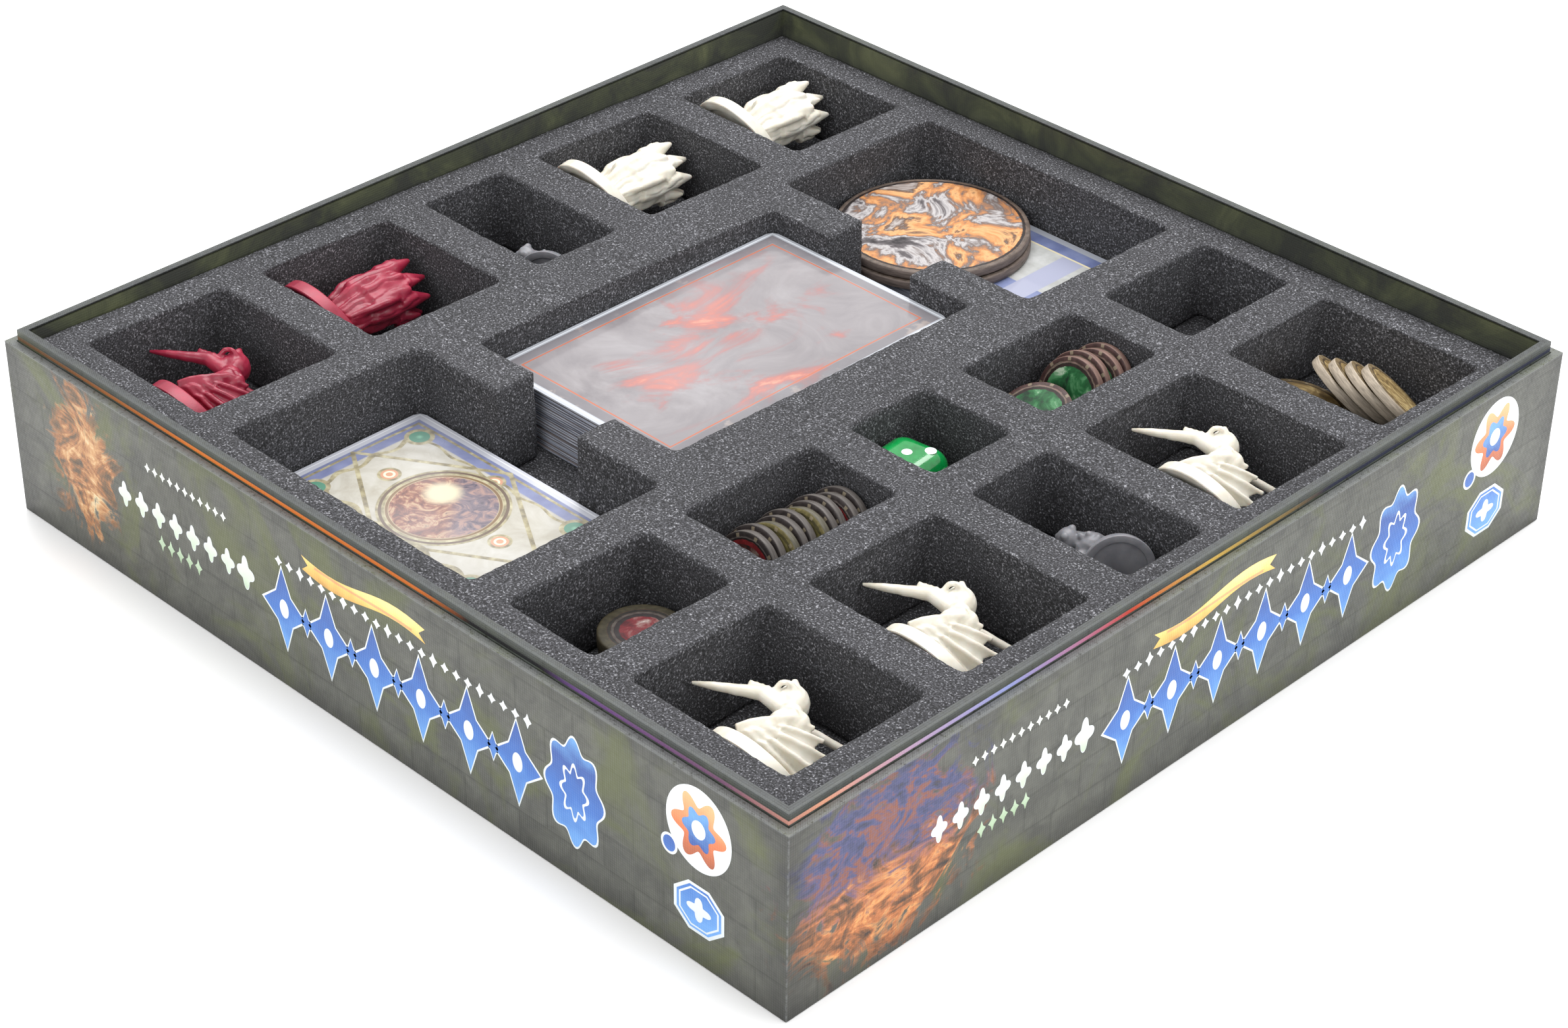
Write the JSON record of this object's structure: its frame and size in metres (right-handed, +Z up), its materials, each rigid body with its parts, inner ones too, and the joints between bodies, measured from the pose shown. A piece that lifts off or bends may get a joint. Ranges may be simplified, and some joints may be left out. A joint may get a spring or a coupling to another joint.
{
  "type": "box insert organizer",
  "caption": "Square board game box with a charcoal foam insert of rectangular pockets and finger gaps, holding sleeved cards, round tokens, a die and small lying figures.",
  "frame": {"origin": "middle of the underside of the upturned lid, at the surface that the box stands on", "axes": "+Z up out of the open box, -Y towards the front side and +X towards the right side"},
  "size_m": [0.25, 0.25, 0.0484],
  "materials": {
    "greyboard": "matt grey board",
    "lid_paper": "dark mottled print with a linen texture",
    "base_paper": "grey-green print with a linen texture",
    "book_paper": "coated paper",
    "tile_board": "printed board",
    "charcoal_foam": "matt open-cell foam",
    "card_sleeve": "edges of clear card sleeves",
    "large_card_print": "glossy sleeved print",
    "small_card_print": "glossy sleeved print",
    "disc_print": "satin print on board",
    "olive_token": "satin print on board",
    "dark_token": "satin print on board",
    "marker_token": "satin print on board",
    "coin_token": "matt print on board",
    "die_green": "glossy",
    "ivory_plastic": "satin",
    "crimson_plastic": "satin",
    "grey_plastic": "satin"
  },
  "bodies": {
    "lid": {"lid_board": "greyboard", "lid_wrap": "lid_paper"},
    "base": {"base_board": "greyboard", "base_wrap": "base_paper"},
    "rule_book": {"rule_book": "book_paper"},
    "tile_sheet_1": {"tile_sheet_1": "tile_board"},
    "tile_sheet_2": {"tile_sheet_2": "tile_board"},
    "tile_sheet_3": {"tile_sheet_3": "tile_board"},
    "tile_sheet_4": {"tile_sheet_4": "tile_board"},
    "tray": {"foam_floor": "charcoal_foam", "foam_grid": "charcoal_foam"},
    "large_cards": {"large_card_stack": "card_sleeve"},
    "large_top_card": {"large_card_top": "large_card_print"},
    "small_cards": {"small_card_stack": "card_sleeve"},
    "small_top_card": {"small_card_top": "small_card_print"},
    "card_pack": {"card_pack": "small_card_print"},
    "disc_lower": {"disc_lower": "disc_print"},
    "disc_upper": {"disc_upper": "disc_print"},
    "stacked_token_1": {"stacked_token_1": "olive_token"},
    "stacked_token_2": {"stacked_token_2": "olive_token"},
    "stacked_token_3": {"stacked_token_3": "olive_token"},
    "row_tokens": {"row_token_1": "dark_token", "row_token_2": "dark_token", "row_token_3": "dark_token", "row_token_4": "dark_token", "row_token_5": "dark_token", "row_token_6": "dark_token", "row_token_7": "dark_token", "row_token_8": "dark_token", "row_token_9": "dark_token", "row_token_10": "dark_token"},
    "marker_tokens": {"marker_token_1": "marker_token", "marker_token_2": "marker_token", "marker_token_3": "marker_token", "marker_token_4": "marker_token", "marker_token_5": "marker_token"},
    "coin_tokens": {"coin_token_1": "coin_token", "coin_token_2": "coin_token", "coin_token_3": "coin_token", "coin_token_4": "coin_token", "coin_token_5": "coin_token"},
    "die": {"die": "die_green"},
    "winged_figure_a1": {"winged_figure_a1": "crimson_plastic", "winged_figure_a1_base": "crimson_plastic"},
    "ragged_figure_a2": {"ragged_figure_a2": "crimson_plastic", "ragged_figure_a2_base": "crimson_plastic"},
    "crouched_figure_a3": {"crouched_figure_a3": "grey_plastic", "crouched_figure_a3_base": "grey_plastic"},
    "ragged_figure_a4": {"ragged_figure_a4": "ivory_plastic", "ragged_figure_a4_base": "ivory_plastic"},
    "ragged_figure_a5": {"ragged_figure_a5": "ivory_plastic", "ragged_figure_a5_base": "ivory_plastic"},
    "winged_figure_d1": {"winged_figure_d1": "ivory_plastic", "winged_figure_d1_base": "ivory_plastic"},
    "winged_figure_d2": {"winged_figure_d2": "ivory_plastic", "winged_figure_d2_base": "ivory_plastic"},
    "crouched_figure_d3": {"crouched_figure_d3": "grey_plastic", "crouched_figure_d3_base": "grey_plastic"},
    "winged_figure_d4": {"winged_figure_d4": "ivory_plastic", "winged_figure_d4_base": "ivory_plastic"}
  },
  "joints": [
    {"name": "base_lift", "type": "slide", "parent": "lid", "child": "base", "axis": [0, 0, 1], "range_m": [0, 0.06]},
    {"name": "rule_book_lift", "type": "slide", "parent": "base", "child": "rule_book", "axis": [0, 0, 1], "range_m": [0, 0.05]},
    {"name": "tile_sheet_1_lift", "type": "slide", "parent": "rule_book", "child": "tile_sheet_1", "axis": [0, 0, 1], "range_m": [0, 0.05]},
    {"name": "tile_sheet_2_lift", "type": "slide", "parent": "tile_sheet_1", "child": "tile_sheet_2", "axis": [0, 0, 1], "range_m": [0, 0.05]},
    {"name": "tile_sheet_3_lift", "type": "slide", "parent": "tile_sheet_2", "child": "tile_sheet_3", "axis": [0, 0, 1], "range_m": [0, 0.05]},
    {"name": "tile_sheet_4_lift", "type": "slide", "parent": "tile_sheet_3", "child": "tile_sheet_4", "axis": [0, 0, 1], "range_m": [0, 0.05]},
    {"name": "tray_lift", "type": "slide", "parent": "tile_sheet_4", "child": "tray", "axis": [0, 0, 1], "range_m": [0, 0.05]},
    {"name": "large_cards_lift", "type": "slide", "parent": "tray", "child": "large_cards", "axis": [0, 0, 1], "range_m": [0, 0.05]},
    {"name": "large_top_card_lift", "type": "slide", "parent": "large_cards", "child": "large_top_card", "axis": [0, 0, 1], "range_m": [0, 0.03]},
    {"name": "small_cards_lift", "type": "slide", "parent": "tray", "child": "small_cards", "axis": [0, 0, 1], "range_m": [0, 0.05]},
    {"name": "small_top_card_lift", "type": "slide", "parent": "small_cards", "child": "small_top_card", "axis": [0, 0, 1], "range_m": [0, 0.03]},
    {"name": "card_pack_lift", "type": "slide", "parent": "tray", "child": "card_pack", "axis": [0, 0, 1], "range_m": [0, 0.05]},
    {"name": "disc_lower_lift", "type": "slide", "parent": "card_pack", "child": "disc_lower", "axis": [0, 0, 1], "range_m": [0, 0.03]},
    {"name": "disc_upper_lift", "type": "slide", "parent": "disc_lower", "child": "disc_upper", "axis": [0, 0, 1], "range_m": [0, 0.03]},
    {"name": "stacked_token_1_lift", "type": "slide", "parent": "tray", "child": "stacked_token_1", "axis": [0, 0, 1], "range_m": [0, 0.05]},
    {"name": "stacked_token_2_lift", "type": "slide", "parent": "stacked_token_1", "child": "stacked_token_2", "axis": [0, 0, 1], "range_m": [0, 0.03]},
    {"name": "stacked_token_3_lift", "type": "slide", "parent": "stacked_token_2", "child": "stacked_token_3", "axis": [0, 0, 1], "range_m": [0, 0.03]},
    {"name": "row_tokens_lift", "type": "slide", "parent": "tray", "child": "row_tokens", "axis": [0, 0, 1], "range_m": [0, 0.05]},
    {"name": "marker_tokens_lift", "type": "slide", "parent": "tray", "child": "marker_tokens", "axis": [0, 0, 1], "range_m": [0, 0.05]},
    {"name": "coin_tokens_lift", "type": "slide", "parent": "tray", "child": "coin_tokens", "axis": [0, 0, 1], "range_m": [0, 0.05]},
    {"name": "die_lift", "type": "slide", "parent": "tray", "child": "die", "axis": [0, 0, 1], "range_m": [0, 0.05]},
    {"name": "winged_figure_a1_lift", "type": "slide", "parent": "tray", "child": "winged_figure_a1", "axis": [0, 0, 1], "range_m": [0, 0.05]},
    {"name": "ragged_figure_a2_lift", "type": "slide", "parent": "tray", "child": "ragged_figure_a2", "axis": [0, 0, 1], "range_m": [0, 0.05]},
    {"name": "crouched_figure_a3_lift", "type": "slide", "parent": "tray", "child": "crouched_figure_a3", "axis": [0, 0, 1], "range_m": [0, 0.05]},
    {"name": "ragged_figure_a4_lift", "type": "slide", "parent": "tray", "child": "ragged_figure_a4", "axis": [0, 0, 1], "range_m": [0, 0.05]},
    {"name": "ragged_figure_a5_lift", "type": "slide", "parent": "tray", "child": "ragged_figure_a5", "axis": [0, 0, 1], "range_m": [0, 0.05]},
    {"name": "winged_figure_d1_lift", "type": "slide", "parent": "tray", "child": "winged_figure_d1", "axis": [0, 0, 1], "range_m": [0, 0.05]},
    {"name": "winged_figure_d2_lift", "type": "slide", "parent": "tray", "child": "winged_figure_d2", "axis": [0, 0, 1], "range_m": [0, 0.05]},
    {"name": "crouched_figure_d3_lift", "type": "slide", "parent": "tray", "child": "crouched_figure_d3", "axis": [0, 0, 1], "range_m": [0, 0.05]},
    {"name": "winged_figure_d4_lift", "type": "slide", "parent": "tray", "child": "winged_figure_d4", "axis": [0, 0, 1], "range_m": [0, 0.05]}
  ]
}
